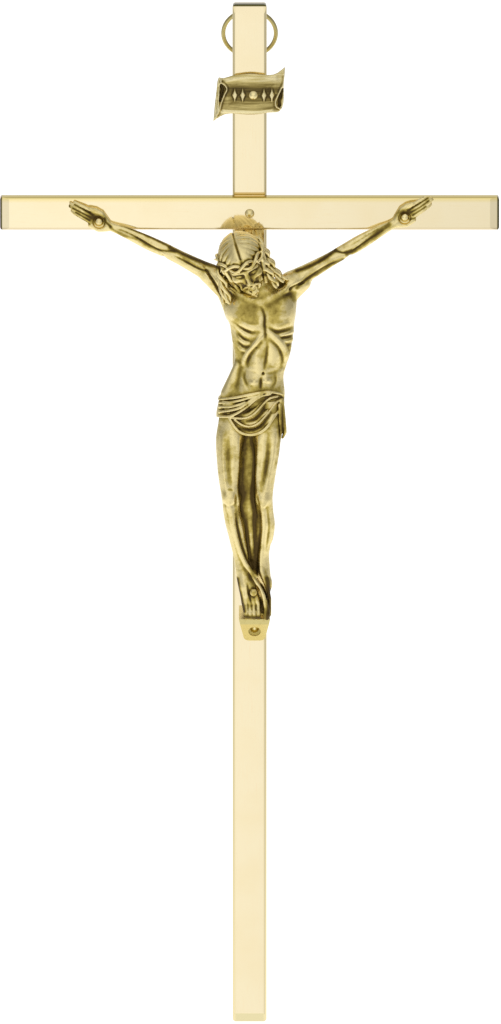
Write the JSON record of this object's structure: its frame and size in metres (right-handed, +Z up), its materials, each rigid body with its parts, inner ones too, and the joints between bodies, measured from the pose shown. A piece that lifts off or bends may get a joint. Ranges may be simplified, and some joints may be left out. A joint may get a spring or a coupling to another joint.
{
  "type": "wall crucifix",
  "caption": "Wall crucifix of flat polished brass bars riveted crosswise, with a cast figure on a footrest, a wavy scroll plate and a swinging hanging ring behind.",
  "frame": {"origin": "centre line of the upright's back face, at the height of the crossbar's middle", "axes": "+Z up along the upright, +X towards the viewer's right along the crossbar, +Y back to the wall; the figure faces -Y"},
  "size_m": [0.121, 0.0287, 0.254],
  "materials": {
    "polished_brass": "mirror polished pale brass, lacquered",
    "rivet_brass": "bright brass wire, heads set by hand",
    "antiqued_brass": "fine sand-cast grain, brown antique wash in the hollows, highlights rubbed bright",
    "footrest_brass": "polished yellow brass",
    "scroll_brass": "dark antiqued brass with raised edges rubbed bright",
    "hanger_brass": "drawn brass wire and strip, tumbled"
  },
  "bodies": {
    "cross": {"upright": "polished_brass", "crossbar": "polished_brass", "crossing_rivet": "rivet_brass", "corpus": "antiqued_brass", "left_palm_rivet": "rivet_brass", "right_palm_rivet": "rivet_brass", "footrest": "footrest_brass", "foot_rivet": "rivet_brass", "scroll_plate": "scroll_brass", "scroll_rivet": "rivet_brass", "hanger_tab": "hanger_brass"},
    "ring": {"hanger_ring": "hanger_brass"}
  },
  "joints": [
    {"name": "ring_swing", "type": "hinge", "parent": "cross", "child": "ring", "pos_m": [0, 0.00124, 0.0487], "axis": [1, 0, 0], "range_deg": [-22, 180]}
  ]
}
